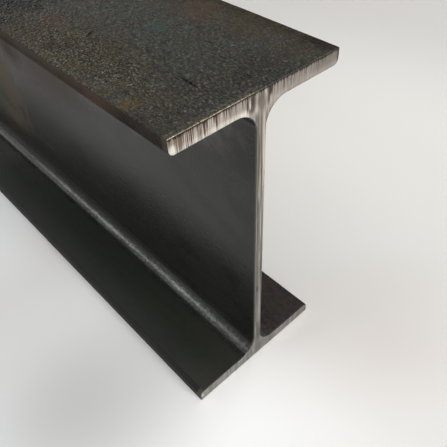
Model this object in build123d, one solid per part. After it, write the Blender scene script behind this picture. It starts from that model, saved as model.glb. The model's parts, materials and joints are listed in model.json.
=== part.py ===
from build123d import *

import os

# Hot-rolled steel I-beam: one solid of parallel-flange section, sawn square at both ends.
# Millimetres. The beam lies along X, its web stands upright along Z, its flanges spread along Y.
# The origin is under the middle of the beam, on the flange face that it rests on.

# Driving dimensions
beam_length = 1000.0
section_height = 200.0
flange_width = 100.0
flange_thickness = 8.5
web_thickness = 5.6
root_radius = 12.0
toe_radius = 3.0
arris_radius = 0.8
steel_density = 7.85e-6

# Worked out from the driving dimensions
half_height = section_height / 2
half_width = flange_width / 2
clear_height = section_height - 2 * flange_thickness
flange_centre = half_height - flange_thickness / 2
flange_inner_face = clear_height / 2
point_tolerance = 1e-3


def corners(section, across, up):
    """The section's four corners at these distances to either side of its centre."""
    return [
        corner
        for corner in section.vertices()
        if abs(abs(corner.X) - across) < point_tolerance
        and abs(abs(corner.Y) - up) < point_tolerance
    ]


def rolled_section():
    """The cross-section: two flanges on a web, with root fillets and rounded toes."""
    cut_end = Plane(origin=(-beam_length / 2, 0, half_height), x_dir=(0, 1, 0), z_dir=(1, 0, 0))
    with BuildSketch(cut_end) as section:
        with Locations((0, flange_centre), (0, -flange_centre)):
            Rectangle(flange_width, flange_thickness)
        Rectangle(web_thickness, clear_height)
        fillet(corners(section, web_thickness / 2, flange_inner_face), root_radius)
        fillet(corners(section, half_width, flange_inner_face), toe_radius)
        fillet(corners(section, half_width, half_height), arris_radius)
    return section.sketch


def rolled_beam():
    """The section carried straight along the whole length."""
    beam = extrude(rolled_section(), beam_length)
    beam.label = "i_beam"
    return beam


i_beam = rolled_beam()

os.makedirs("parts", exist_ok=True)
export_step(i_beam, "parts/i_beam.step")

print("volume", round(i_beam.volume), "mm3")
print("mass", round(i_beam.volume * steel_density, 2), "kg")
print("faces", len(i_beam.faces()))
print("box", i_beam.bounding_box())
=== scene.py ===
import json
import math

import bpy
import numpy as np
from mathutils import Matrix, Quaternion, Vector, noise
from mathutils.geometry import delaunay_2d_cdt


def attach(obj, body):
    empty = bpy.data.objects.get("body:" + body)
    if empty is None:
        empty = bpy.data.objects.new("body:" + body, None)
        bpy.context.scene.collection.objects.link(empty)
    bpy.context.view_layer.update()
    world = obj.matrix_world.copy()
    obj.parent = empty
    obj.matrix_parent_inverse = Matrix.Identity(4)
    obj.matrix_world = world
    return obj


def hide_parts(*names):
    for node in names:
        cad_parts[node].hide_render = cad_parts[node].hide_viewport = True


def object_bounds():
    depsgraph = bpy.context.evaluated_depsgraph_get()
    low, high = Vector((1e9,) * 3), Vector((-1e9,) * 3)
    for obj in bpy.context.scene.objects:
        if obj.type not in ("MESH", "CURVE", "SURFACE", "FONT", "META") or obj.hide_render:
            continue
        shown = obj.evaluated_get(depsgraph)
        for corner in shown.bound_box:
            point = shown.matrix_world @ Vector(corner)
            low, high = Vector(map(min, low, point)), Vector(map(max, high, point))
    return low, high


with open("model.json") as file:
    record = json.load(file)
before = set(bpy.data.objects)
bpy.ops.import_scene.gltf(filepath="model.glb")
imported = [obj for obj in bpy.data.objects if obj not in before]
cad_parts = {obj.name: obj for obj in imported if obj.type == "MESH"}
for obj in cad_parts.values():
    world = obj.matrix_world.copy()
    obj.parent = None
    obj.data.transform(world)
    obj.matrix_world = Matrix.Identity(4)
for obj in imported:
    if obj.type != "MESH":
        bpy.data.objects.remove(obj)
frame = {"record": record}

# The looks of a hot-rolled steel I-beam: dark mill scale on its sides, bright saw marks on its ends.
# Metres. X runs along the beam, Y across its flanges, Z up its web. Sizes come from the frame.
# The near end is the one at +X and the near side the one at -Y: both are those that the photograph shows.

CAD_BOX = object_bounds()
HIGH = CAD_BOX[1]
MOUNTS = {mount["name"]: Vector(mount["pos_m"]) for mount in frame["record"]["mounts"]}

HALF_LENGTH = HIGH.x
LENGTH = 2 * HALF_LENGTH
HALF_WIDTH = HIGH.y
HEIGHT = HIGH.z
MIDDLE = HEIGHT / 2
HALF_WEB = MOUNTS["web_plus_y"].y
INNER_FACE = MOUNTS["clamp_seat_top_plus_y"].z

# The section's radii, the same as in the part's source.
ROOT_RADIUS = 0.012
TOE_RADIUS = 0.003
ARRIS_RADIUS = 0.0008

MM = 0.001


# Shape of the section

# Spacing of the outline's points on the web, the flange's inner face and its outer face.
# The near side and the top, where the rolled skin shows most, are finer.
NEAR_TOP = (3 * MM, 4 * MM, 1 * MM)
FAR_TOP = (8 * MM, 5 * MM, 1 * MM)
NEAR_BOTTOM = (3 * MM, 2 * MM, 8 * MM)
FAR_BOTTOM = (8 * MM, 2 * MM, 8 * MM)
SIDE_SPACING = 1.5 * MM
ROOT_STEPS = 10
TOE_STEPS = 6
ARRIS_STEPS = 4


def arc(centre, radius, start, end, steps):
    """Points on an arc between two angles in degrees, both ends included."""
    angles = np.radians(np.linspace(start, end, steps + 1))
    return [
        (centre[0] + radius * math.cos(angle), centre[1] + radius * math.sin(angle))
        for angle in angles
    ]


def straight(start, end, spacing):
    """Points between two corners, both ends left out."""
    start, end = np.array(start), np.array(end)
    steps = max(1, round(float(np.linalg.norm(end - start)) / spacing))
    return [tuple(start + (end - start) * step / steps) for step in range(1, steps)]


def quarter_outline(spacings):
    """The upper right quarter of the section, from the web's middle to the top's, both included."""
    web_spacing, inner_spacing, outer_spacing = spacings
    root_centre = (HALF_WEB + ROOT_RADIUS, INNER_FACE - ROOT_RADIUS)
    toe_centre = (HALF_WIDTH - TOE_RADIUS, INNER_FACE + TOE_RADIUS)
    arris_centre = (HALF_WIDTH - ARRIS_RADIUS, HEIGHT - ARRIS_RADIUS)
    root = arc(root_centre, ROOT_RADIUS, 180, 90, ROOT_STEPS)
    toe = arc(toe_centre, TOE_RADIUS, -90, 0, TOE_STEPS)
    arris = arc(arris_centre, ARRIS_RADIUS, 0, 90, ARRIS_STEPS)
    web_middle = (HALF_WEB, MIDDLE)
    top_middle = (0.0, HEIGHT)
    return (
        [web_middle]
        + straight(web_middle, root[0], web_spacing)
        + root
        + straight(root[-1], toe[0], inner_spacing)
        + toe
        + straight(toe[-1], arris[0], SIDE_SPACING)
        + arris
        + straight(arris[-1], top_middle, outer_spacing)
        + [top_middle]
    )


def mirrored(quarter, across, up):
    """A quarter of the section moved to another corner."""
    return [(across * y, MIDDLE + up * (z - MIDDLE)) for y, z in quarter]


def whole_outline():
    """The closed outline as Y and Z, one point after the next, and its outward normals."""
    far_top = mirrored(quarter_outline(FAR_TOP), 1, 1)
    near_top = mirrored(quarter_outline(NEAR_TOP), -1, 1)
    near_bottom = mirrored(quarter_outline(NEAR_BOTTOM), -1, -1)
    far_bottom = mirrored(quarter_outline(FAR_BOTTOM), 1, -1)
    # Neighbouring quarters share a point, which is taken once.
    points = np.array(far_top + near_top[-2::-1] + near_bottom[1:] + far_bottom[-2:0:-1])
    along = np.roll(points, -1, axis=0) - np.roll(points, 1, axis=0)
    normals = np.stack([along[:, 1], -along[:, 0]], axis=1)
    normals /= np.linalg.norm(normals, axis=1, keepdims=True)
    return points, normals


# Shape of the surface

# Distance from an end and how far the outline is drawn in there, where the saw's edge is dulled.
SOFTENED = [(0.0, 0.30 * MM), (0.09 * MM, 0.12 * MM), (0.3 * MM, 0.0)]
# Stretches in which the outline is repeated: their start and end, in millimetres from the near end, and
# the spacing there. The rings are closest where the photograph shows the beam from near.
LAST_RING = LENGTH / MM - 10
RING_STRETCHES = [(1.0, 150.0, 1.2), (151.0, 400.0, 5.0), (404.0, LAST_RING, 12.0)]
# Hollows on the outer faces and between the flanges: size, depth and where in the noise they lie.
OUTER_RELIEF = [(14 * MM, 0.10 * MM, 3.0), (3.2 * MM, 0.06 * MM, 5.0)]
INNER_RELIEF = [(45 * MM, 0.10 * MM, 3.0), (14 * MM, 0.02 * MM, 5.0)]
# The same for the waves of the flanges' edges. The shifts give each of the four edges waves of its own.
EDGE_WAVE = (14 * MM, 0.16 * MM, 9.0)
SHIFT_ACROSS = 0.05
SHIFT_UP = 0.02
# Saw marks, fine and coarse: depth, width, length and where in the noise they lie.
SAW_MARKS = [(0.03 * MM, 0.5 * MM, 14 * MM, 1.0), (0.02 * MM, 1.3 * MM, 40 * MM, 7.0)]
MEAN_SAW_DEPTH = 0.05 * MM


def bumps(place, size, seed):
    """Smooth noise from 0 to 1 with hollows about one size across."""
    return 0.5 + 0.5 * noise.noise((place + Vector((seed, seed, seed))) / size)


def relief(place, layers):
    """Depth of several layers of hollows."""
    return sum(deep * bumps(place, size, seed) for size, deep, seed in layers)


def limited(share):
    """A share kept between 0 and 1."""
    return min(1.0, max(0.0, share))


def relief_depth(place):
    """How far the rolled surface lies inside the nominal one."""
    rise = abs(place.z - MIDDLE) - INNER_FACE + MIDDLE
    share = limited(rise / TOE_RADIUS)
    depth = share * relief(place, OUTER_RELIEF) + (1.0 - share) * relief(place, INNER_RELIEF)
    out = limited((abs(place.y) - HALF_WIDTH + TOE_RADIUS) / TOE_RADIUS)
    shift = math.copysign(SHIFT_ACROSS, place.y) + math.copysign(SHIFT_UP, place.z - MIDDLE)
    return depth + out * relief(Vector((place.x, shift, 0.0)), [EDGE_WAVE])


def stations():
    """Distances from the near end at which the outline is repeated, and how far it is drawn in."""
    stretches = [np.arange(start, stop, spacing) * MM for start, stop, spacing in RING_STRETCHES]
    plain = [(distance, 0.0) for distance in np.concatenate(stretches)]
    last = [(LENGTH - distance, inset) for distance, inset in reversed(SOFTENED)]
    return SOFTENED + plain + last


def shell_points(points, normals):
    """All rings of the shell, from the near end to the far one."""
    rings = []
    for distance, inset in stations():
        x = HALF_LENGTH - distance
        for point, normal in zip(points, normals):
            depth = inset + relief_depth(Vector((x, point[0], point[1])))
            rings.append((x, *(point - normal * depth)))
    return rings


def shell_faces(ring_size, ring_count):
    """Quads between neighbouring rings, facing outwards."""
    faces = []
    for ring in range(ring_count - 1):
        start, following = ring * ring_size, (ring + 1) * ring_size
        for i in range(ring_size):
            j = (i + 1) % ring_size
            faces.append((start + i, following + i, following + j, start + j))
    return faces


def saw_depth(y, z):
    """How far the cut lies inside the beam's end. Its marks run up and down."""
    marks = sum(
        deep * noise.noise(Vector((y / width, z / length, seed)))
        for deep, width, length, seed in SAW_MARKS
    )
    return MEAN_SAW_DEPTH + marks


# Mesh of the beam

# Spacing of the points in a cut face across the saw marks and along them, in millimetres.
NEAR_CUT = (0.35, 1.8)
FAR_CUT = (1.2, 3.5)
# How far the points of a cut face stay from its rim.
CUT_MARGIN = 0.6 * MM
# Triangles are made inside the rim only, and points closer than this are joined.
INSIDE_RIM = 1
JOINED = 1e-7
# A flange's rough skin begins this far up its toe.
SKIN_MARGIN = 0.05 * MM
# Kinds of surface, in the order of the beam's materials.
ROUGH, SMOOTH, SAWN = 0, 1, 2


def inside(y, z, margin):
    """Whether a point lies inside the section by at least the margin."""
    rise = abs(z - MIDDLE)
    inner = INNER_FACE - MIDDLE
    in_flange = inner + margin < rise < MIDDLE - margin and abs(y) < HALF_WIDTH - margin
    in_toe = abs(y) > HALF_WIDTH - TOE_RADIUS and rise < inner + TOE_RADIUS
    if in_toe:
        away = math.hypot(abs(y) - HALF_WIDTH + TOE_RADIUS, rise - inner - TOE_RADIUS)
        return away < TOE_RADIUS - margin
    if in_flange or (abs(y) < HALF_WEB - margin and rise < inner + 2 * margin):
        return True
    beside_root = abs(y) < HALF_WEB + ROOT_RADIUS and rise > inner - ROOT_RADIUS
    away = math.hypot(abs(y) - HALF_WEB - ROOT_RADIUS, rise - inner + ROOT_RADIUS)
    return beside_root and rise < inner + 2 * margin and away > ROOT_RADIUS + margin


def cut_grid(column, row):
    """Points inside the cut face, in columns that follow the saw marks."""
    return [
        (y, z)
        for y in np.arange(-HALF_WIDTH + column / 2, HALF_WIDTH, column)
        for z in np.arange(row / 2, HEIGHT, row)
        if inside(y, z, CUT_MARGIN)
    ]


def cut_face(rim, column, row):
    """Points and triangles of a cut face whose rim is already there."""
    grid = cut_grid(column, row)
    flat = [Vector(point) for point in list(rim) + grid]
    loop = [(i, (i + 1) % len(rim)) for i in range(len(rim))]
    _, _, faces, origins, _, _ = delaunay_2d_cdt(flat, loop, [], INSIDE_RIM, JOINED)
    sources = [origin[0] for origin in origins]
    return grid, [tuple(sources[i] for i in face) for face in faces]


def close_end(verts, faces, side, first, ring_size, spacing):
    """Adds the cut face at one end, on the ring whose first point is given."""
    column, row = spacing
    rim = [(y, z) for _, y, z in verts[first:first + ring_size]]
    grid, triangles = cut_face(rim, column * MM, row * MM)
    start = len(verts)
    verts += [(side * (HALF_LENGTH - saw_depth(y, z)), y, z) for y, z in grid]
    for triangle in triangles:
        ring = [first + i if i < ring_size else start + i - ring_size for i in triangle]
        faces.append(tuple(ring if side > 0 else reversed(ring)))


def skin_kinds(points, ring_count):
    """Which rolled skin each quad of the shell has: rough outside, smooth between the flanges."""
    following = np.roll(points, -1, axis=0)
    rise = np.abs((points[:, 1] + following[:, 1]) / 2 - MIDDLE)
    wide = np.abs((points[:, 0] + following[:, 0]) / 2)
    outside = (rise > INNER_FACE - MIDDLE + SKIN_MARGIN) & (wide > HALF_WIDTH - TOE_RADIUS)
    outside |= rise > MIDDLE - ARRIS_RADIUS
    return np.tile(np.where(outside, ROUGH, SMOOTH), ring_count - 1)


def beam_mesh():
    """One closed mesh of the whole beam, with a kind of surface for each face."""
    points, normals = whole_outline()
    ring_size, ring_count = len(points), len(stations())
    verts = shell_points(points, normals)
    faces = shell_faces(ring_size, ring_count)
    kinds = skin_kinds(points, ring_count)
    close_end(verts, faces, 1, 0, ring_size, NEAR_CUT)
    close_end(verts, faces, -1, (ring_count - 1) * ring_size, ring_size, FAR_CUT)
    mesh = bpy.data.meshes.new("steel_beam")
    mesh.from_pydata(verts, [], faces)
    sawn = len(faces) - len(kinds)
    mesh.polygons.foreach_set("material_index", np.append(kinds, np.full(sawn, SAWN)).astype(np.int32))
    mesh.polygons.foreach_set("use_smooth", np.ones(len(faces), dtype=bool))
    mesh.update()
    return mesh


# Shader nodes

def linear_share(share):
    """A screen's brightness from 0 to 1 as the shader wants it, by the sRGB curve."""
    if share > 0.04045:
        return ((share + 0.055) / 1.055) ** 2.4
    return share / 12.92


def linear(red, green, blue):
    """A colour as it looks on screen, from 0 to 255, as the shader wants it."""
    return [linear_share(channel / 255) for channel in (red, green, blue)] + [1.0]


class Graph:
    """Adds and joins the shader nodes of one material."""

    def __init__(self, name):
        self.material = bpy.data.materials.new(name)
        self.material.use_nodes = True
        self.tree = self.material.node_tree
        self.tree.nodes.clear()
        self.place = self.add("ShaderNodeTexCoord").outputs["Object"]
        split = self.add("ShaderNodeSeparateXYZ", {"Vector": self.place})
        self.x, self.y, self.z = split.outputs
        self.from_end = self.less(HALF_LENGTH, self.x)

    def add(self, kind, inputs=None, **settings):
        """A new node with its settings and inputs, which are values or other nodes' outputs."""
        made = self.tree.nodes.new(kind)
        for name, value in settings.items():
            setattr(made, name, value)
        for name, value in (inputs or {}).items():
            if isinstance(value, bpy.types.NodeSocket):
                self.tree.links.new(value, made.inputs[name])
            else:
                made.inputs[name].default_value = value
        return made

    def step(self, operation, first, second=0.0):
        """One step of arithmetic."""
        return self.add("ShaderNodeMath", {0: first, 1: second}, operation=operation).outputs[0]

    def less(self, first, second):
        """The first value less the second."""
        return self.step("SUBTRACT", first, second)

    def most(self, first, second):
        """The larger of two values."""
        return self.step("MAXIMUM", first, second)

    def away(self, value, centre=0.0):
        """How far a value is from a centre, on either side."""
        return self.step("ABSOLUTE", self.less(value, centre))

    def total(self, *values):
        """Several values added."""
        result = values[0]
        for value in values[1:]:
            result = self.step("ADD", result, value)
        return result

    def times(self, *values):
        """Several values multiplied."""
        product = values[0]
        for value in values[1:]:
            product = self.step("MULTIPLY", product, value)
        return product

    def ease(self, value, start, end, low=0.0, high=1.0):
        """Turns a value from low at the start to high at the end, smoothly."""
        inputs = {"Value": value, "From Min": start, "From Max": end, "To Min": low, "To Max": high}
        made = self.add("ShaderNodeMapRange", inputs, interpolation_type="SMOOTHSTEP")
        return made.outputs["Result"]

    def along(self, start, end, low=0.0, high=1.0):
        """Eases between two distances from the near end, in millimetres."""
        return self.ease(self.from_end, start * MM, end * MM, low, high)

    def across(self, start, end, low=0.0, high=1.0):
        """Eases between two places on Y, in millimetres."""
        return self.ease(self.y, start * MM, end * MM, low, high)

    def up(self, start, end, low=0.0, high=1.0):
        """Eases between two heights, in millimetres."""
        return self.ease(self.z, start * MM, end * MM, low, high)

    def mix(self, factor, first, second):
        """Two colours mixed: the first where the factor is 0 and the second where it is 1."""
        # The node's sockets share their names, so those for colours are reached by number.
        made = self.add("ShaderNodeMix", {0: factor, 6: first, 7: second}, data_type="RGBA")
        return made.outputs[2]

    def stretch(self, x, y, z):
        """The place with each direction scaled."""
        made = self.add("ShaderNodeMapping", {"Vector": self.place, "Scale": (x, y, z)})
        return made.outputs[0]

    def noise(self, size, detail=2.0, roughness=0.5, vector=None):
        """Noise whose patches are about one size across, in millimetres."""
        inputs = {
            "Vector": vector or self.place,
            "Scale": 1 / (size * MM),
            "Detail": detail,
            "Roughness": roughness,
        }
        return self.add("ShaderNodeTexNoise", inputs).outputs["Fac"]

    def mark(self, centre, reach, turn=0.0, ragged=0.0, edges=None, middle=0.3):
        """A soft mark at a real place, 1 in its middle and 0 outside. Noise can make its edge ragged."""
        inputs = {
            "Vector": self.place,
            "Location": centre,
            "Rotation": (0.0, 0.0, math.radians(turn)),
            "Scale": reach,
        }
        inside = self.add("ShaderNodeMapping", inputs, vector_type="TEXTURE").outputs[0]
        share = self.add("ShaderNodeVectorMath", {0: inside}, operation="LENGTH").outputs["Value"]
        if edges is not None:
            share = self.total(share, self.times(self.less(edges, 0.5), ragged))
        return self.ease(share, 1.0, middle)

    def finish(self, colour, roughness, metallic, ior, height=None, depth=0.0):
        """The shader of the surface, with its relief where it has one."""
        inputs = {"Base Color": colour, "Roughness": roughness, "Metallic": metallic, "IOR": ior}
        if height is not None:
            relief_inputs = {"Strength": 1.0, "Distance": depth, "Height": height}
            inputs["Normal"] = self.add("ShaderNodeBump", relief_inputs).outputs[0]
        shader = self.add("ShaderNodeBsdfPrincipled", inputs)
        output = self.add("ShaderNodeOutputMaterial")
        self.tree.links.new(shader.outputs[0], output.inputs["Surface"])
        return self.material


# Rolled skin

# Scale on the outer faces, with its specks, spots, pits and scratches, and the pale specks of its painted
# glints.
GREY_GREEN = linear(49, 51, 45)
BROWN_GREY = linear(48, 40, 27)
BROWN_SCALE = linear(45, 36, 12)
OLIVE = linear(52, 46, 22)
LIGHT_SPECK = linear(82, 78, 62)
COOL_SPECK = linear(82, 85, 78)
TAN_GLINT = linear(122, 108, 74)
GREY_GLINT = linear(140, 137, 122)
WARM_SPOT = linear(62, 46, 30)
COOL_SPOT = linear(38, 49, 46)
OLIVE_SPOT = linear(52, 53, 26)
PLUM_SPOT = linear(54, 43, 43)
PIT = linear(21, 18, 11)
SCRATCH = linear(9, 9, 8)
RUBBED = linear(84, 80, 68)
BARE_EDGE = linear(160, 151, 130)
# The flanges' upright edges, with painted shade on the bottom flange's edges.
SIDE_BROWN = linear(48, 36, 20)
SIDE_OLIVE = linear(42, 34, 10)
SIDE_RED = linear(58, 32, 20)
SIDE_PAINTED_SHADE = linear(24, 24, 22)
SIDE_PALE = linear(72, 64, 50)
# The web, with its rust and smudges, and a pale smudge painted much lighter as painted light.
WEB_DARK = linear(26, 27, 24)
WEB_LIGHT = linear(31, 31, 27)
WEB_GREEN = linear(28, 34, 30)
WEB_BROWN = linear(34, 27, 23)
WEB_PALE = linear(84, 82, 78)
WEB_SMUDGE_AND_PAINTED_LIGHT = linear(102, 100, 95)
SMUDGE = linear(56, 57, 54)
RUST = linear(70, 54, 28)
RUST_RED = linear(64, 36, 28)
RUST_DULL = linear(52, 38, 22)
RUST_GREEN = linear(48, 46, 28)
RUST_BROWN = linear(46, 32, 16)
RUST_PALE = linear(76, 71, 54)
# The bottom flange's inner face and the roots above it, with the painted highlight and glints along the
# roots, painted shade on the far half of the flange and above the roots, and dark clouds.
FLANGE_TONE = linear(37, 38, 34)
FLANGE_GREEN = linear(35, 40, 34)
FLANGE_PALE = linear(48, 48, 44)
FOOT_SHADE_BROWN = linear(14, 10, 7)
FOOT_RED = linear(36, 24, 19)
PALE_WEAR_AND_HIGHLIGHT = linear(88, 91, 87)
ROOT_GLINT = linear(150, 154, 146)
CLOUD_AND_ROOT_SHADE = linear(10, 10, 9)

# How light bends at each skin, and how deep the finest relief of each is.
ROUGH_IOR = 1.33
SMOOTH_IOR = 1.38
ROUGH_RELIEF = 2.0 * MM
SMOOTH_RELIEF = 0.08 * MM
# Least and most roughness of the rough skin, and the least of the smooth one.
MATT = (0.6, 0.72)
SATIN = 0.23
# How strongly each layer of the skin covers what lies under it.
BAND_COVER = 0.7
PATCH_OVER_SPOTS = 0.65
PATCH_OVER_GRAIN = 0.4
LIGHT_GRAIN_COVER = 0.9
DARK_GRAIN_COVER = 0.95
ZONE_COVER = 0.5
GLINT_COVER = 0.78
SIDE_COVER = 0.85
FOOT_COVER = 0.9
WEAR_AND_HIGHLIGHT_COVER = 0.4
HIGHLIGHT_COVER = 0.35
ROOT_GLINT_COVER = 0.32
RIM_COVER = 0.5
# How much like bare metal the burr, the flanges' edges and the rubbed roots shine.
BURR_METAL = 0.8
SIDE_METAL = 0.7
ROOT_METAL = 0.2
# How much rougher the web is where shade is painted above its bottom roots.
ROOT_SHADE_MATT = 0.12
# How strongly grit, long strokes and scratches shape the outer faces, beside the pebbles.
GRIT_RELIEF = 0.3
STROKE_RELIEF = 0.7
SCRATCH_RELIEF = 0.3
# Noise is scaled by these along X, Y and Z, so a small number makes it long in that direction.
GRAIN = (0.74, 1.14, 1.0)
STROKES = (0.38, 1.2, 1.0)
LONG_CLOUDS = (0.5, 1.0, 1.0)
LONG_WEAR = (0.35, 1.0, 1.0)
LONG_GLINTS = (0.4, 1.0, 1.0)

# All tables of spots, patches, marks and tones are in millimetres and degrees.

# Small spots on the outer faces: the size of their noise and the tints at its two extremes.
SPOTS = [
    (5, WARM_SPOT, COOL_SPOT),
    (6.5, OLIVE_SPOT, PLUM_SPOT),
]
# Tints on the near side of the web: distance from the near end, Z, the reaches, colour, strength
# and how much rougher the surface is there.
WEB_PATCHES = [
    # A pale smudge near the top by the near end, painted much lighter as painted light where the flange
    # shades the web.
    (36, 174, 32, 24, WEB_SMUDGE_AND_PAINTED_LIGHT, 1.0, 0.0),
    (150, 132, 34, 12, WEB_PALE, 0.6, 0.0),
    (104, 134, 12, 10, WEB_PALE, 0.5, 0.0),
    (215, 126, 76, 24, RUST_DULL, 0.95, 0.14),
    (272, 127, 32, 20, RUST_BROWN, 1.0, 0.32),
    (304, 88, 26, 76, RUST, 0.95, 0.16),
    (345, 60, 40, 60, RUST_GREEN, 0.8, 0.1),
    (325, 32, 30, 22, RUST_RED, 0.9, 0.1),
    (282, 60, 12, 40, RUST, 0.6, 0.06),
    (206, 112, 22, 14, RUST_GREEN, 0.7, 0.1),
    (314, 47, 36, 20, RUST_PALE, 0.7, 0.04),
    (278, 99, 12, 12, SMUDGE, 0.8, 0.0),
    (140, 116, 22, 12, SMUDGE, 0.5, 0.0),
    (232, 58, 60, 22, SMUDGE, 0.2, 0.0),
]
# Patches of tinted scale on the top: distance from the near end and Y of the middle, the two reaches,
# the turn, the colour and how strongly it covers.
TOP_PATCHES = [
    (78, 35, 22, 13, 35, linear(64, 42, 22), 0.85),
    (90, 27, 15, 9, 0, linear(50, 40, 22), 0.7),
    (44, 36, 16, 16, 10, linear(54, 42, 22), 0.8),
    (11, 40, 14, 9, 0, linear(50, 42, 36), 0.7),
    (22, 45, 6, 6, 0, linear(48, 48, 20), 0.6),
    (63, 44, 7, 7, 0, linear(38, 44, 44), 0.7),
    (28, 44, 6, 7, 0, linear(40, 46, 46), 0.6),
    (71, 25, 5, 3, 30, linear(62, 40, 36), 0.6),
    (77, 6, 9, 9, 0, linear(34, 62, 51), 0.8),
    (69, 23, 7, 5, 20, linear(60, 38, 34), 0.55),
    (98, -14, 17, 8, -10, linear(52, 40, 38), 0.6),
    (122, -26, 16, 7, -10, linear(76, 34, 24), 0.95),
    (106, -29, 10, 6, -25, linear(66, 54, 10), 0.9),
    (92, -31, 9, 6, -30, linear(64, 50, 10), 0.8),
    (112, -40, 16, 8, -15, linear(56, 40, 22), 0.6),
    (65, -34, 26, 12, -10, linear(54, 44, 36), 0.7),
    (88, -45, 8, 6, 0, linear(48, 54, 26), 0.8),
    (130, -44, 12, 6, 0, linear(54, 56, 22), 0.8),
    (61, -45, 5, 4, 0, linear(40, 54, 50), 0.8),
    (29, -44, 7, 9, 0, linear(78, 58, 8), 1.0),
    (29, -37, 5, 5, 0, linear(60, 40, 34), 0.7),
    (56, -35, 12, 10, 0, linear(34, 28, 14), 0.7),
    (15, -45, 13, 8, 0, linear(42, 36, 32), 0.8),
    (158, -28, 26, 24, 0, linear(8, 8, 4), 1.0),
    (10, -8, 16, 18, 0, linear(36, 38, 36), 0.5),
    (148, -17, 20, 10, 0, linear(40, 42, 33), 0.6),
    (12, 15, 22, 20, 0, linear(26, 24, 20), 0.75),
    (45, 46, 62, 9, 0, linear(46, 36, 14), 0.85),
    (143, -46, 16, 9, 0, linear(14, 10, 2), 0.9),
    (95, -34, 60, 24, -12, linear(40, 32, 8), 0.5),
    (6, -32, 6, 10, 0, linear(58, 46, 42), 0.6),
    (36, -22, 16, 8, 0, linear(46, 44, 42), 0.5),
    (7, 47, 20, 8, 0, linear(26, 20, 16), 0.9),
]
# Dark scratches and pits in the top: distance from the near end and Y, the reaches, the turn and how
# deep they are beside the deepest one.
TOP_SCRATCHES = [
    (25.3, -17.8, 6.8, 0.95, 3, 0.9),
    (95.1, -21.7, 5.0, 1.2, 55, 1.0),
    (62.5, -11.4, 5.0, 0.9, 28, 0.5),
    (61.5, 19.4, 3.4, 1.7, -10, 0.4),
    (79.5, -18.3, 1.5, 1.0, 0, 0.6),
    (71.6, -20.0, 1.8, 1.2, 0, 0.8),
    (52.0, -8.0, 5.0, 0.6, 12, 0.4),
    (11.6, 2.6, 2.2, 1.5, -30, 0.45),
    (12.7, -3.6, 1.6, 1.1, -30, 0.35),
    (27.6, 19.4, 1.5, 1.1, 0, 0.25),
]
# Brighter stretches of the roots' painted highlight: distance from the near end, the reach and the
# strength.
PAINTED_ROOT_HIGHLIGHTS = [
    (72, 34, 1.0),
    (162, 24, 0.9),
    (238, 22, 0.5),
]
# Tints of the top flange's near edge: distance from the near end, the reach and the colour.
SIDE_PATCHES = [
    (16, 24, linear(26, 15, 10)),
    (24, 13, linear(18, 12, 5)),
    (50, 12, linear(64, 42, 34)),
    (84, 12, linear(38, 28, 12)),
    (122, 34, linear(34, 25, 15)),
]
# Where the sheen of the top takes the scale's own colour: place, reaches, turn and strength.
METAL_TINTS = [
    (105, -38, 110, 34, -8, 0.55),
    (8, 49, 28, 12, 0, 0.7),
    (160, -28, 34, 30, 0, 0.75),
    (146, -46, 24, 12, 0, 0.75),
    (50, 50, 80, 13, 0, 0.65),
    (14, -52, 26, 10, 0, 0.6),
]
# Zones with painted glints, pale specks of light: distance from the near end and Y, the two reaches and
# the strength.
GLINT_ZONES = [
    (74, -36, 74, 27, 0.8),
    (22, -37, 24, 14, 0.45),
]
# The browner band along the near edge of the top, in the same way but without a strength.
BROWN_BAND = (115, -38, 105, 30)
# Reach of the marks on the outer faces and on the web in the directions that the tables leave out.
PATCH_HEIGHT = 12 * MM
WEB_PATCH_DEPTH = 12 * MM
# Height of the tints on the top flange's near edge.
SIDE_PATCH_Z = HEIGHT - 4 * MM


# Outer faces

def on_top(from_end, y, reach_x, reach_y):
    """Centre and reach of a mark on the top face, in metres."""
    centre = (HALF_LENGTH - from_end * MM, y * MM, HEIGHT)
    return centre, (reach_x * MM, reach_y * MM, PATCH_HEIGHT)


def top_ground(graph, blotch, edges):
    """Grey-green scale with browner drifts, olive blotches and a brown band along the near edge."""
    drift = graph.noise(32, 3, 0.55)
    colour = graph.mix(graph.ease(drift, 0.5, 0.68), GREY_GREEN, BROWN_GREY)
    colour = graph.mix(graph.ease(blotch, 0.56, 0.72, 0.0, 0.4), colour, OLIVE)
    centre, reach = on_top(*BROWN_BAND)
    band = graph.mark(centre, reach, 0.0, 0.8, edges)
    return graph.mix(graph.times(band, BAND_COVER), colour, BROWN_SCALE)


def patched(graph, colour, edges):
    """The tinted patches laid over a colour, and how strongly they cover it."""
    covered = 0.0
    for from_end, y, reach_x, reach_y, turn, tint, strength in TOP_PATCHES:
        centre, reach = on_top(from_end, y, reach_x, reach_y)
        mask = graph.times(graph.mark(centre, reach, -turn, 1.6, edges), strength)
        colour = graph.mix(mask, colour, tint)
        covered = graph.most(mask, covered)
    return colour, covered


def spotted(graph, colour):
    """Small spots laid over a colour, livelier towards the edges of the top."""
    lively = graph.ease(graph.away(graph.y), 15 * MM, 38 * MM, 0.5, 0.9)
    for size, high_tint, low_tint in SPOTS:
        hue = graph.noise(size, 3, 0.6)
        colour = graph.mix(graph.times(graph.ease(hue, 0.5, 0.64), lively), colour, high_tint)
        colour = graph.mix(graph.times(graph.ease(hue, 0.5, 0.36), lively), colour, low_tint)
    return colour


def glint_zone(graph, edges):
    """Where the skin has painted glints and warmer grain, from 0 to 1."""
    zone = 0.0
    for from_end, y, reach_x, reach_y, strength in GLINT_ZONES:
        centre, reach = on_top(from_end, y, reach_x, reach_y)
        mask = graph.times(graph.mark(centre, reach, 0.0, 0.6, edges), strength)
        zone = graph.most(mask, zone)
    return zone


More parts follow.
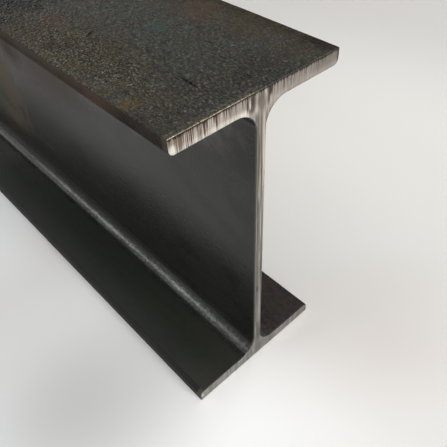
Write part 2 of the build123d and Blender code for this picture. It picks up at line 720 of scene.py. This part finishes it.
def grained(graph, colour, zone, roughened):
    """Light and dark grain laid over a colour."""
    grain = graph.noise(1.05, 1, 0.5, graph.stretch(*GRAIN))
    light = graph.times(graph.ease(grain, 0.52, 0.7), roughened)
    dark = graph.times(graph.ease(grain, 0.48, 0.3), roughened)
    warmth = graph.ease(graph.total(zone, graph.across(22, 36)), 0.1, 0.6)
    speck = graph.mix(warmth, COOL_SPECK, LIGHT_SPECK)
    colour = graph.mix(graph.times(light, LIGHT_GRAIN_COVER), colour, speck)
    return graph.mix(graph.times(dark, DARK_GRAIN_COVER), colour, PIT)


def glinting(graph, colour, zone, roughened, blotch):
    """A darker ground with painted glints, pale specks of light, laid over a colour in the speckled zone.
    """
    colour = graph.mix(graph.times(zone, roughened, ZONE_COVER), colour, PIT)
    specks = graph.noise(0.62, 0, 0.5, graph.stretch(*GRAIN))
    # Painted glints: pale specks of light.
    glints = graph.times(graph.ease(specks, 0.54, 0.72), zone)
    tone = graph.mix(graph.ease(blotch, 0.4, 0.6), TAN_GLINT, GREY_GLINT)
    return graph.mix(graph.times(glints, GLINT_COVER), colour, tone)


def outer_skin(graph, edges, scratches, roughened):
    """Colour of the rough skin on the flanges' outer faces, with painted glints."""
    blotch = graph.noise(7, 3, 0.6)
    zone = glint_zone(graph, edges)
    patches, covered = patched(graph, top_ground(graph, blotch, edges), edges)
    colour = spotted(graph, patches)
    colour = graph.mix(graph.times(covered, PATCH_OVER_SPOTS), colour, patches)
    colour = grained(graph, colour, zone, roughened)
    colour = graph.mix(graph.times(covered, PATCH_OVER_GRAIN), colour, patches)
    colour = glinting(graph, colour, zone, roughened, blotch)
    return graph.mix(scratches, colour, SCRATCH)


def side_skin(graph, edges):
    """Colour of the flanges' upright edges, with painted shade on the bottom flange's edges."""
    colour = graph.mix(graph.noise(12, 3, 0.6), SIDE_BROWN, SIDE_OLIVE)
    colour = graph.mix(graph.ease(graph.noise(4, 2, 0.6), 0.5, 0.66, 0.0, 0.8), colour, SIDE_RED)
    # Painted shade: the bottom flange's edges are darkened below 40 to 60 mm.
    colour = graph.mix(graph.up(60, 40), colour, SIDE_PAINTED_SHADE)
    for from_end, reach_x, tint in SIDE_PATCHES:
        centre = (HALF_LENGTH - from_end * MM, -HALF_WIDTH, SIDE_PATCH_Z)
        mask = graph.mark(centre, (reach_x * MM, PATCH_HEIGHT, PATCH_HEIGHT), 0.0, 1.0, edges)
        colour = graph.mix(graph.times(mask, SIDE_COVER), colour, tint)
    upper = graph.ease(graph.z, HEIGHT - 5 * MM, HEIGHT - 1.5 * MM, 0.0, 0.5)
    upper = graph.times(upper, graph.along(25, 45, 0.4, 1.0))
    return graph.mix(upper, colour, SIDE_PALE)


def cut_edge(graph, colour):
    """Wear behind the cut's upper edge laid over a colour, and where its burr is bare metal."""
    top_edge = graph.ease(graph.z, HEIGHT - 0.6 * MM, HEIGHT - 0.3 * MM)
    behind = graph.times(graph.along(4, 2.4), graph.across(4, -4))
    colour = graph.mix(graph.times(behind, graph.noise(2, 1)), colour, RUBBED)
    shaded = graph.times(graph.along(1.6, 0.6), graph.across(0, 8), top_edge)
    colour = graph.mix(graph.times(shaded, RIM_COVER), colour, PIT)
    worn = graph.times(graph.along(0.35, 0.15), graph.ease(graph.noise(3), 0.28, 0.42))
    burr = graph.times(worn, graph.across(0, -12, 0.06, 0.85), top_edge)
    return graph.mix(burr, colour, BARE_EDGE), burr


def scratched(graph):
    """How deep the scratches in the top are at each place, from 0 to 1."""
    total = 0.0
    for from_end, y, reach_x, reach_y, turn, strength in TOP_SCRATCHES:
        centre, reach = on_top(from_end, y, reach_x, reach_y)
        mask = graph.times(graph.mark(centre, reach, -turn, middle=0.6), strength)
        total = graph.total(mask, total)
    return graph.times(total, graph.ease(graph.z, HEIGHT - 4 * MM, HEIGHT - 1 * MM))


def roughened_skin(graph):
    """How strong the grain is: most on the near half of the top, less at its edge and further along."""
    away = graph.times(graph.along(100, 160, 1.0, 1.2), graph.along(190, 300, 1.0, 0.5))
    corner = graph.times(graph.along(60, 20), graph.across(0, -20, 0.0, 0.2))
    slanted = graph.less(graph.y, graph.times(graph.from_end, 0.12))
    near_half = graph.ease(slanted, 30 * MM, 2 * MM, 0.7, 1.08)
    inner = graph.ease(graph.y, -HALF_WIDTH, -HALF_WIDTH + 10 * MM, 0.55, 1.0)
    return graph.times(near_half, away, graph.total(corner, 1.0), inner)


def outer_sheen(graph, edges, flank, burr, scratches):
    """Where the outer faces shine in their own colour, as metal does."""
    metallic = graph.times(burr, BURR_METAL)
    for from_end, y, reach_x, reach_y, turn, strength in METAL_TINTS:
        centre, reach = on_top(from_end, y, reach_x, reach_y)
        mask = graph.mark(centre, reach, -turn, 1.2, edges, 0.0)
        metallic = graph.most(graph.times(mask, strength), metallic)
    metallic = graph.most(metallic, graph.times(flank, graph.up(40, 60), SIDE_METAL))
    return graph.most(scratches, metallic)


def pebbled(graph, flank, roughened, scratches):
    """Height of the outer faces: pebbles, grit and long strokes, calmer on the flanges' edges."""
    rolled = graph.stretch(*GRAIN)
    pebbles = graph.noise(1.3, 0, 0.5, rolled)
    grit = graph.times(graph.noise(0.8, 0, 0.5, rolled), GRIT_RELIEF)
    strokes = graph.noise(1.3, 0, 0.5, graph.stretch(*STROKES))
    strokes = graph.times(strokes, STROKE_RELIEF)
    calm = graph.times(graph.ease(flank, 0.0, 1.0, 1.0, 0.15), graph.up(20, 60, 0.4, 1.0))
    height = graph.times(graph.total(pebbles, grit, strokes), roughened, calm)
    return graph.less(height, graph.times(scratches, SCRATCH_RELIEF))


def rough_scale():
    """Pebbly, patchy skin on the flanges' outer faces and edges, with painted glints on the top and
    painted shade on the bottom flange's edges.
    """
    graph = Graph("rough_scale")
    flank = graph.ease(graph.away(graph.z, MIDDLE), MIDDLE - 0.5 * MM, MIDDLE - 0.9 * MM)
    edges = graph.noise(5, 3, 0.6)
    scratches = scratched(graph)
    roughened = roughened_skin(graph)

    colour = outer_skin(graph, edges, scratches, roughened)
    colour = graph.mix(flank, colour, side_skin(graph, edges))
    colour, burr = cut_edge(graph, colour)
    roughness = graph.ease(graph.noise(18), 0.2, 0.8, *MATT)
    metallic = outer_sheen(graph, edges, flank, burr, scratches)
    height = pebbled(graph, flank, roughened, scratches)
    return graph.finish(colour, roughness, metallic, ROUGH_IOR, height, ROUGH_RELIEF)


# Between the flanges

def web_ground(graph, drift):
    """Dark skin of the web, mottled green and brown, with pale grain and dark clouds."""
    mottle = graph.noise(9, 3, 0.6)
    colour = graph.mix(graph.ease(drift, 0.35, 0.65), WEB_DARK, WEB_LIGHT)
    colour = graph.mix(graph.ease(mottle, 0.52, 0.72, 0.0, 0.6), colour, WEB_GREEN)
    colour = graph.mix(graph.ease(mottle, 0.46, 0.28, 0.0, 0.6), colour, WEB_BROWN)
    grain = graph.noise(1.3, 1)
    colour = graph.mix(graph.ease(grain, 0.4, 0.66, 0.0, 0.35), colour, SMUDGE)
    cloud = graph.noise(14, 2, 0.6, graph.stretch(*LONG_CLOUDS))
    return graph.mix(graph.ease(cloud, 0.52, 0.36, 0.0, 0.5), colour, CLOUD_AND_ROOT_SHADE)


def web_patched(graph, colour):
    """Rust, smudges and a pale smudge painted light where the flange shades the web, laid over the web's
    near side, and how much rougher they make it.
    """
    edges = graph.noise(16, 3, 0.6)
    near_side = graph.across(0, -2)
    matt = 0.0
    for from_end, z, reach_x, reach_z, tint, strength, dulling in WEB_PATCHES:
        centre = (HALF_LENGTH - from_end * MM, -HALF_WEB, z * MM)
        reach = (reach_x * MM, WEB_PATCH_DEPTH, reach_z * MM)
        mask = graph.times(graph.mark(centre, reach, 0.0, 1.0, edges, 0.0), near_side)
        colour = graph.mix(graph.times(mask, strength), colour, tint)
        matt = graph.most(graph.times(mask, dulling), matt)
    return colour, matt


def painted_root_shade(graph):
    """Where shade is painted on the web above its bottom roots, from 0 to 1."""
    return graph.times(
        graph.up(46, 30),
        graph.up(16, 21),
        graph.along(50, 130, 0.5, 0.95),
        graph.along(230, 310, 1.0, 0.5),
    )


def near_foot(graph, colour):
    """The inner face of the bottom flange's near half laid over a colour."""
    face = graph.times(graph.across(-12, -16), graph.up(14, 9.5))
    tone = graph.mix(graph.ease(graph.noise(5, 2, 0.6), 0.42, 0.66), FLANGE_TONE, FLANGE_GREEN)
    paler = graph.most(graph.along(40, 6, 0.0, 0.6), graph.along(285, 320))
    tone = graph.mix(paler, tone, FLANGE_PALE)
    return graph.mix(graph.times(face, FOOT_COVER), colour, tone)


def far_foot_with_shade(graph, colour):
    """The inner face of the bottom flange's far half, mottled brown and darkened with painted shade, laid
    over a colour.
    """
    face = graph.times(graph.across(5, 9), graph.up(22, 12))
    # Partly brown mottling, partly painted shade.
    tone = graph.mix(graph.ease(graph.noise(3, 2, 0.6), 0.4, 0.6), FOOT_SHADE_BROWN, FOOT_RED)
    return graph.mix(graph.times(face, FOOT_COVER), colour, tone)


def root_wear_and_highlight(graph, wide):
    """Where the roots are rubbed smooth and carry their painted highlight, a band that follows the
    highlight, from 0 to 1.
    """
    low = graph.along(100, 160, HALF_WEB + 0.6 * MM, HALF_WEB + 1.5 * MM)
    band = graph.times(
        graph.ease(wide, low, graph.total(low, 3 * MM)),
        graph.ease(wide, HALF_WEB + 8.4 * MM, HALF_WEB + 6.9 * MM),
        graph.ease(graph.away(graph.z, MIDDLE), MIDDLE - 24 * MM, MIDDLE - 20 * MM),
        graph.along(230, 300, 1.0, 0.3),
        graph.along(0, 40, 0.55, 1.0),
    )
    patches = graph.noise(6, 2, 0.6, graph.stretch(*LONG_WEAR))
    return graph.times(band, graph.ease(patches, 0.3, 0.6, 0.6, 1.0))


def painted_root_highlight(graph, worn):
    """Where the roots' painted highlight is brightest, from 0 to 1."""
    total = 0.0
    for from_end, reach, strength in PAINTED_ROOT_HIGHLIGHTS:
        away = graph.away(graph.from_end, from_end * MM)
        total = graph.total(graph.times(graph.ease(away, reach * MM, 0.0), strength), total)
    return graph.times(worn, total)


def rubbed_roots_and_highlight(graph, colour, worn, painted_highlight):
    """Rubbed steel with the roots' painted highlight and painted glints laid over a colour."""
    wear_and_highlight = graph.total(graph.times(worn, WEAR_AND_HIGHLIGHT_COVER), graph.times(painted_highlight, HIGHLIGHT_COVER))
    colour = graph.mix(wear_and_highlight, colour, PALE_WEAR_AND_HIGHLIGHT)
    root_glints = graph.ease(graph.noise(0.9, 1, 0.6, graph.stretch(*LONG_GLINTS)), 0.46, 0.7)
    return graph.mix(graph.times(worn, root_glints, ROOT_GLINT_COVER), colour, ROOT_GLINT)


def inner_roughness(graph, drift, wide, worn, matt):
    """Roughness between the flanges: most at their toes, in the rust and at the near end's roots."""
    toes = graph.ease(wide, 20 * MM, HALF_WIDTH - 2 * MM, 0.0, 0.3)
    blurred = graph.times(worn, graph.along(60, 0, 0.02, 0.1))
    return graph.total(blurred, SATIN, graph.times(drift, 0.04), toes, matt)


def smooth_scale():
    """Satin skin between the flanges, with rust, smudges and a patch of painted light on the web's near
    side, a painted highlight along the bottom roots, and painted shade above them and on the bottom
    flange's far half.
    """
    graph = Graph("smooth_scale")
    wide = graph.away(graph.y)
    drift = graph.noise(40, 3)
    root_shade_mask = painted_root_shade(graph)
    # The rubbed band along the bottom roots also carries their painted highlight.
    worn = root_wear_and_highlight(graph, wide)
    painted_highlight = painted_root_highlight(graph, worn)

    colour, matt = web_patched(graph, web_ground(graph, drift))
    # Painted shade on the web just above its bottom roots.
    colour = graph.mix(root_shade_mask, colour, CLOUD_AND_ROOT_SHADE)
    colour = far_foot_with_shade(graph, near_foot(graph, colour))
    web_rim = graph.times(graph.along(1.6, 0.7), graph.ease(wide, 6 * MM, 4 * MM))
    colour = graph.mix(graph.times(web_rim, RIM_COVER), colour, PALE_WEAR_AND_HIGHLIGHT)
    # A painted highlight and painted glints along the bottom roots, over steel that is partly rubbed.
    colour = rubbed_roots_and_highlight(graph, colour, worn, painted_highlight)
    metallic = graph.total(graph.times(worn, ROOT_METAL), graph.times(painted_highlight, ROOT_METAL))
    matt = graph.most(matt, graph.times(root_shade_mask, ROOT_SHADE_MATT))
    roughness = inner_roughness(graph, drift, wide, worn, matt)
    dents = graph.times(graph.noise(2.4, 0), graph.ease(worn, 0.0, 1.0, 1.0, 1.6))
    return graph.finish(colour, roughness, metallic, SMOOTH_IOR, dents, SMOOTH_RELIEF)


# Sawn ends

CUT_LEFT = linear(172, 165, 157)
CUT_INNER = linear(154, 145, 138)
CUT_RIGHT = linear(149, 142, 135)
CUT_WEB = linear(163, 155, 147)
CUT_WEB_LOW_SHADED = linear(122, 122, 113)
CUT_FOOT_SHADED = linear(134, 131, 128)
RED_STREAK = linear(80, 62, 54)
GREY_STREAK = linear(88, 81, 74)
OLIVE_CUT = linear(96, 84, 68)
CUT_DARK = linear(62, 56, 49)
CUT_RIM = linear(44, 38, 32)
CUT_PALE = linear(224, 220, 210)

# Marks on the cut: Y and Z, the two reaches, the colour and how strongly it covers.
CUT_MARKS = [
    (-46.0, 198.3, 6.0, 3.6, OLIVE_CUT, 0.5),
    (-6.2, 194.5, 3.6, 7.0, GREY_STREAK, 1.0),
    (-8.7, 195.5, 0.6, 5.0, CUT_DARK, 0.85),
    (-7.1, 195.3, 0.8, 3.6, CUT_PALE, 0.6),
    (-5.6, 196.6, 1.8, 3.6, CUT_DARK, 0.75),
    (4.7, 197.3, 2.1, 3.8, CUT_DARK, 1.0),
    (3.9, 193.6, 1.1, 4.4, CUT_DARK, 0.8),
    (1.9, 196.5, 0.9, 4.5, CUT_PALE, 0.45),
    (-2.0, 196.0, 0.7, 5.0, GREY_STREAK, 0.6),
    (0.0, 194.0, 4.0, 7.0, GREY_STREAK, 0.7),
    (13.2, 196.3, 0.6, 3.4, CUT_DARK, 0.8),
    (16.8, 197.2, 1.4, 1.4, CUT_DARK, 0.4),
    (40.0, 197.0, 15.0, 5.5, GREY_STREAK, 0.45),
    (-47.9, 193.9, 2.4, 3.4, CUT_PALE, 0.5),
    (-0.8, 172.0, 0.7, 34.0, CUT_DARK, 0.45),
    (1.6, 168.0, 0.8, 26.0, CUT_PALE, 0.4),
    (-1.2, 134.0, 1.6, 9.0, GREY_STREAK, 0.6),
    (-0.8, 69.5, 1.6, 4.5, CUT_DARK, 0.75),
    (-0.4, 31.0, 2.4, 8.0, CUT_DARK, 0.5),
    (0.0, 24.0, 3.6, 13.0, GREY_STREAK, 0.85),
    (1.4, 100.0, 0.45, 60.0, CUT_DARK, 0.4),
    (-1.8, 112.0, 0.45, 34.0, CUT_DARK, 0.35),
    (0.3, 88.0, 0.5, 26.0, CUT_PALE, 0.3),
    (2.2, 58.0, 0.45, 44.0, CUT_DARK, 0.4),
    (-34.0, 4.0, 18.0, 7.0, CUT_PALE, 0.06),
    (0.9, 55.0, 1.3, 34.0, CUT_PALE, 0.2),
    (-2.2, 62.0, 0.9, 60.0, GREY_STREAK, 0.6),
    (-2.6, 120.0, 0.5, 70.0, CUT_PALE, 0.45),
    (2.5, 150.0, 0.6, 50.0, CUT_PALE, 0.35),
    (0.4, 158.0, 0.6, 30.0, CUT_DARK, 0.45),
    (0.0, 7.0, 11.0, 6.5, GREY_STREAK, 0.4),
    (-48.3, 5.0, 1.4, 3.0, CUT_PALE, 0.5),
    (45.0, 4.0, 9.0, 6.0, GREY_STREAK, 0.4),
    (-1.6, 27.0, 0.6, 10.0, CUT_PALE, 0.25),
    (1.7, 22.0, 0.6, 9.0, CUT_DARK, 0.5),
    (0.7, 120.0, 0.6, 18.0, CUT_PALE, 0.35),
    (-1.0, 117.0, 0.5, 16.0, CUT_DARK, 0.45),
    (2.6, 6.0, 1.0, 5.0, CUT_DARK, 0.4),
    (-3.6, 7.0, 1.0, 5.0, CUT_PALE, 0.25),
]
CUT_MARK_DEPTH = 6 * MM

# Shine of the cut and the depth of its finest marks.
CUT_ROUGHNESS = 0.45
CUT_IOR = 1.5
CUT_RELIEF = 0.15 * MM
# Noise is scaled by these along X, Y and Z, so that it runs up and down on the cut.
HAIR_STREAKS = (0.02, 1.0, 0.012)
STREAK_GROUPS = (0.02, 1.0, 0.02)
SHORT_LINES = (1.0, 1.0, 0.06)
LONG_LINES = (1.0, 1.0, 0.03)


def cut_zones(graph, depth):
    """Tint of the cut: warm on the top flange, greenish down the web, grey on the bottom flange, and
    darker low on the web and on the bottom flange as painted shade.
    """
    colour = graph.mix(graph.across(-30, -14), CUT_LEFT, CUT_INNER)
    colour = graph.mix(graph.across(-12, -4), colour, CUT_WEB)
    colour = graph.mix(graph.across(2, 9), colour, CUT_RIGHT)
    # Painted shade: the cut is darker low on the web and on the bottom flange.
    colour = graph.mix(graph.up(146, 122), colour, CUT_WEB_LOW_SHADED)
    colour = graph.mix(graph.up(24, 10), colour, CUT_FOOT_SHADED)
    low = graph.times(
        graph.ease(depth, 5 * MM, 8 * MM),
        graph.ease(depth, 12 * MM, 9 * MM),
        graph.across(0, -10, 0.1, 0.8),
    )
    return graph.mix(low, colour, CUT_PALE)


def hanging_streaks(graph, depth, hairs):
    """Streaks of uneven length that hang from the top edge, from 0 to 1."""
    groups = graph.noise(5, 1, 0.5, graph.stretch(*STREAK_GROUPS))
    longest = graph.ease(groups, 0.3, 0.62, 7.4 * MM, 10.4 * MM)
    dense = graph.across(-20, -38, 0.65, 1.15)
    reach = graph.times(graph.ease(hairs, 0.38, 0.7), longest, dense)
    hanging = graph.ease(graph.less(reach, depth), -1.8 * MM, 2.6 * MM)
    return graph.times(hanging, graph.across(-38, -48, 1.0, 0.7))


def web_lines(graph, depth):
    """Long lines that run down the web, from 0 to 1."""
    lines = graph.ease(graph.noise(1.1, 1, 0.5, graph.stretch(*LONG_LINES)), 0.45, 0.62)
    upper = graph.ease(graph.up(110, 150), 0.0, 1.0, 0.6, 0.9)
    return graph.times(lines, graph.ease(depth, 8 * MM, 14 * MM), upper)


def cut_marked(graph, colour):
    """The single marks laid over a colour."""
    for y, z, reach_y, reach_z, tint, strength in CUT_MARKS:
        centre = (HALF_LENGTH, y * MM, z * MM)
        mask = graph.mark(centre, (CUT_MARK_DEPTH, reach_y * MM, reach_z * MM))
        colour = graph.mix(graph.times(mask, strength), colour, tint)
    return colour


def dark_rim(graph, depth, hairs):
    """Where the cut's top edge and its far tip are dark, from 0 to 1."""
    teeth = graph.less(depth, graph.times(hairs, 2 * MM))
    tip = graph.ease(graph.y, HALF_WIDTH - 1.8 * MM, HALF_WIDTH - 0.8 * MM, 0.0, 0.9)
    tip = graph.times(tip, graph.ease(depth, 8.4 * MM, 6 * MM))
    return graph.most(graph.ease(teeth, 0.9 * MM, -0.1 * MM), tip)


def sawn_steel():
    """Bare metal of the cut, with streaks that hang from the top edge and run down the web."""
    graph = Graph("sawn_steel")
    depth = graph.less(HEIGHT, graph.z)
    hairs = graph.noise(0.36, 0, 0.5, graph.stretch(*HAIR_STREAKS))
    fine = graph.noise(0.8, 1, 0.5, graph.stretch(*SHORT_LINES))
    streaks = hanging_streaks(graph, depth, hairs)
    left = graph.across(-6, -14)
    streak_colour = graph.mix(left, GREY_STREAK, RED_STREAK)

    colour = cut_zones(graph, depth)
    colour = graph.mix(graph.ease(fine, 0.45, 0.68, 0.0, 0.3), colour, streak_colour)
    colour = graph.mix(web_lines(graph, depth), colour, GREY_STREAK)
    covering = graph.times(streaks, graph.ease(left, 0.0, 1.0, 0.75, 1.0))
    colour = cut_marked(graph, graph.mix(covering, colour, streak_colour))
    colour = graph.mix(dark_rim(graph, depth, hairs), colour, CUT_RIM)
    height = graph.less(fine, graph.times(streaks, 0.5))
    return graph.finish(colour, CUT_ROUGHNESS, 1.0, CUT_IOR, height, CUT_RELIEF)


# Floor

FLOOR_TONE = linear(217, 215, 211)
# Colours of the painted light and shade on the floor.
FLOOR_LIGHT_POOL = linear(246, 246, 245)
FLOOR_COOL_LIGHT = linear(245, 248, 249)
FLOOR_FAR_LIGHT = linear(243, 240, 235)
FLOOR_LEFT_LIGHT = linear(236, 237, 238)
FLOOR_SHADOW = linear(206, 206, 204)
FLOOR_WARM_SHADE = linear(220, 215, 210)
FLOOR_ROUGHNESS = 0.6
FLOOR_IOR = 1.45
FLOOR_REACH = 4.0

# Painted light and shade on the floor, soft and wide: distance from the near end and Y, the two reaches,
# the turn and the colour.
FLOOR_LIGHT_AND_SHADE = [
    (-20, -70, 400, 100, 65, FLOOR_LIGHT_POOL),
    (20, -230, 100, 400, 25, FLOOR_COOL_LIGHT),
    (130, 230, 400, 300, 5, FLOOR_FAR_LIGHT),
    (270, -70, 200, 100, -20, FLOOR_LEFT_LIGHT),
    (50, -110, 100, 100, 0, FLOOR_SHADOW),
    (-60, 70, 130, 100, 40, FLOOR_WARM_SHADE),
]


def painted_light_floor():
    """Pale floor with soft wide marks of painted light and painted shadow."""
    graph = Graph("pale_floor")
    colour = FLOOR_TONE
    for from_end, y, reach_x, reach_y, turn, tint in FLOOR_LIGHT_AND_SHADE:
        centre = (HALF_LENGTH - from_end * MM, y * MM, 0.0)
        mask = graph.mark(centre, (reach_x * MM, reach_y * MM, 1.0), turn, middle=0.0)
        colour = graph.mix(mask, colour, tint)
    return graph.finish(colour, FLOOR_ROUGHNESS, 0.0, FLOOR_IOR)


# Scene

# The camera and the lights have their places from the foot of the near end.
NEAR_FOOT = Vector((HALF_LENGTH, 0.0, 0.0))

# The photograph's viewpoint.
CAMERA_PLACE = Vector((0.1295, -0.1369, 0.3100))
LOOK = Vector((-0.53590, 0.46538, -0.70443))
ROLL = math.radians(-2.7)
FOCAL_PIXELS = 520.3
PICTURE_PIXELS = 447
SENSOR_MM = 36.0
NEAREST_SEEN = 0.01

# Square soft boxes: place and power. All face the same target.
LIGHT_TARGET = Vector((-0.08, 0.0, 0.08))
SOFT_BOX_SIZE = (2.0, 2.0)
SOFT_BOXES = {
    "front": (Vector((2.82, 0.0, 0.856)), 212.0),
    "overhead": (Vector((-0.03, 0.0, 3.08)), 7.0),
    "back": (Vector((-2.98, 0.0, 0.856)), 26.0),
    "right": (Vector((-0.08, 2.0, 2.31)), 20.0),
    "left": (Vector((-0.08, -2.0, 2.31)), 9.0),
}
# A long strip lies along the beam, to the left of it, and shines straight across.
STRIP_PLACE = Vector((-2.0, -1.915, 1.607))
STRIP_TARGET = Vector((-2.0, 0.0, 0.0))
STRIP_SIZE = (2.6, 0.6)
STRIP_POWER = 24.0
# How bright the pale surroundings look.
SURROUNDINGS = 0.35


def make_camera():
    """The photograph's viewpoint."""
    data = bpy.data.cameras.new("camera")
    data.sensor_width = SENSOR_MM
    data.lens = FOCAL_PIXELS / PICTURE_PIXELS * SENSOR_MM
    data.clip_start = NEAREST_SEEN
    camera = bpy.data.objects.new("camera", data)
    camera.location = NEAR_FOOT + CAMERA_PLACE
    camera.rotation_mode = "QUATERNION"
    camera.rotation_quaternion = LOOK.to_track_quat("-Z", "Y") @ Quaternion((0, 0, 1), ROLL)
    bpy.context.scene.collection.objects.link(camera)
    bpy.context.scene.camera = camera


def make_floor():
    """A wide level sheet under the beam."""
    mesh = bpy.data.meshes.new("floor")
    signs = [(-1, -1), (1, -1), (1, 1), (-1, 1)]
    corners = [(x * FLOOR_REACH, y * FLOOR_REACH, 0.0) for x, y in signs]
    mesh.from_pydata(corners, [], [(0, 1, 2, 3)])
    floor = bpy.data.objects.new("floor", mesh)
    floor.data.materials.append(painted_light_floor())
    bpy.context.scene.collection.objects.link(floor)


def make_light(name, place, target, size, power):
    """A soft light of a width and a height. Place and target are from the foot of the near end."""
    data = bpy.data.lights.new(name, "AREA")
    data.shape = "RECTANGLE"
    data.size, data.size_y = size
    data.energy = power
    light = bpy.data.objects.new(name, data)
    light.location = NEAR_FOOT + place
    light.rotation_mode = "QUATERNION"
    light.rotation_quaternion = (target - place).to_track_quat("-Z", "Y")
    bpy.context.scene.collection.objects.link(light)


def make_lights():
    """The soft boxes and the strip."""
    for name, (place, power) in SOFT_BOXES.items():
        make_light(name, place, LIGHT_TARGET, SOFT_BOX_SIZE, power)
    make_light("strip", STRIP_PLACE, STRIP_TARGET, STRIP_SIZE, STRIP_POWER)


def make_world():
    """Pale surroundings that the camera and reflections see; the soft boxes give the light."""
    world = bpy.data.worlds.new("studio")
    world.use_nodes = True
    tree = world.node_tree
    background = tree.nodes["Background"]
    background.inputs["Color"].default_value = (1.0, 1.0, 1.0, 1.0)
    path = tree.nodes.new("ShaderNodeLightPath")
    seen = path.outputs["Is Camera Ray"]
    for name in ("Is Glossy Ray", "Is Transmission Ray"):
        either = tree.nodes.new("ShaderNodeMath")
        either.operation = "MAXIMUM"
        tree.links.new(seen, either.inputs[0])
        tree.links.new(path.outputs[name], either.inputs[1])
        seen = either.outputs[0]
    level = tree.nodes.new("ShaderNodeMath")
    level.operation = "MULTIPLY"
    level.inputs[1].default_value = SURROUNDINGS
    tree.links.new(seen, level.inputs[0])
    tree.links.new(level.outputs[0], background.inputs["Strength"])
    bpy.context.scene.world = world


def make_beam():
    """The whole beam, in place of its plain solid."""
    beam = bpy.data.objects.new("steel_beam", beam_mesh())
    for material in (rough_scale(), smooth_scale(), sawn_steel()):
        beam.data.materials.append(material)
    bpy.context.scene.collection.objects.link(beam)
    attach(beam, "root")
    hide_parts("i_beam")


bpy.context.scene.view_settings.view_transform = "Standard"
make_camera()
make_world()
make_floor()
make_lights()
make_beam()
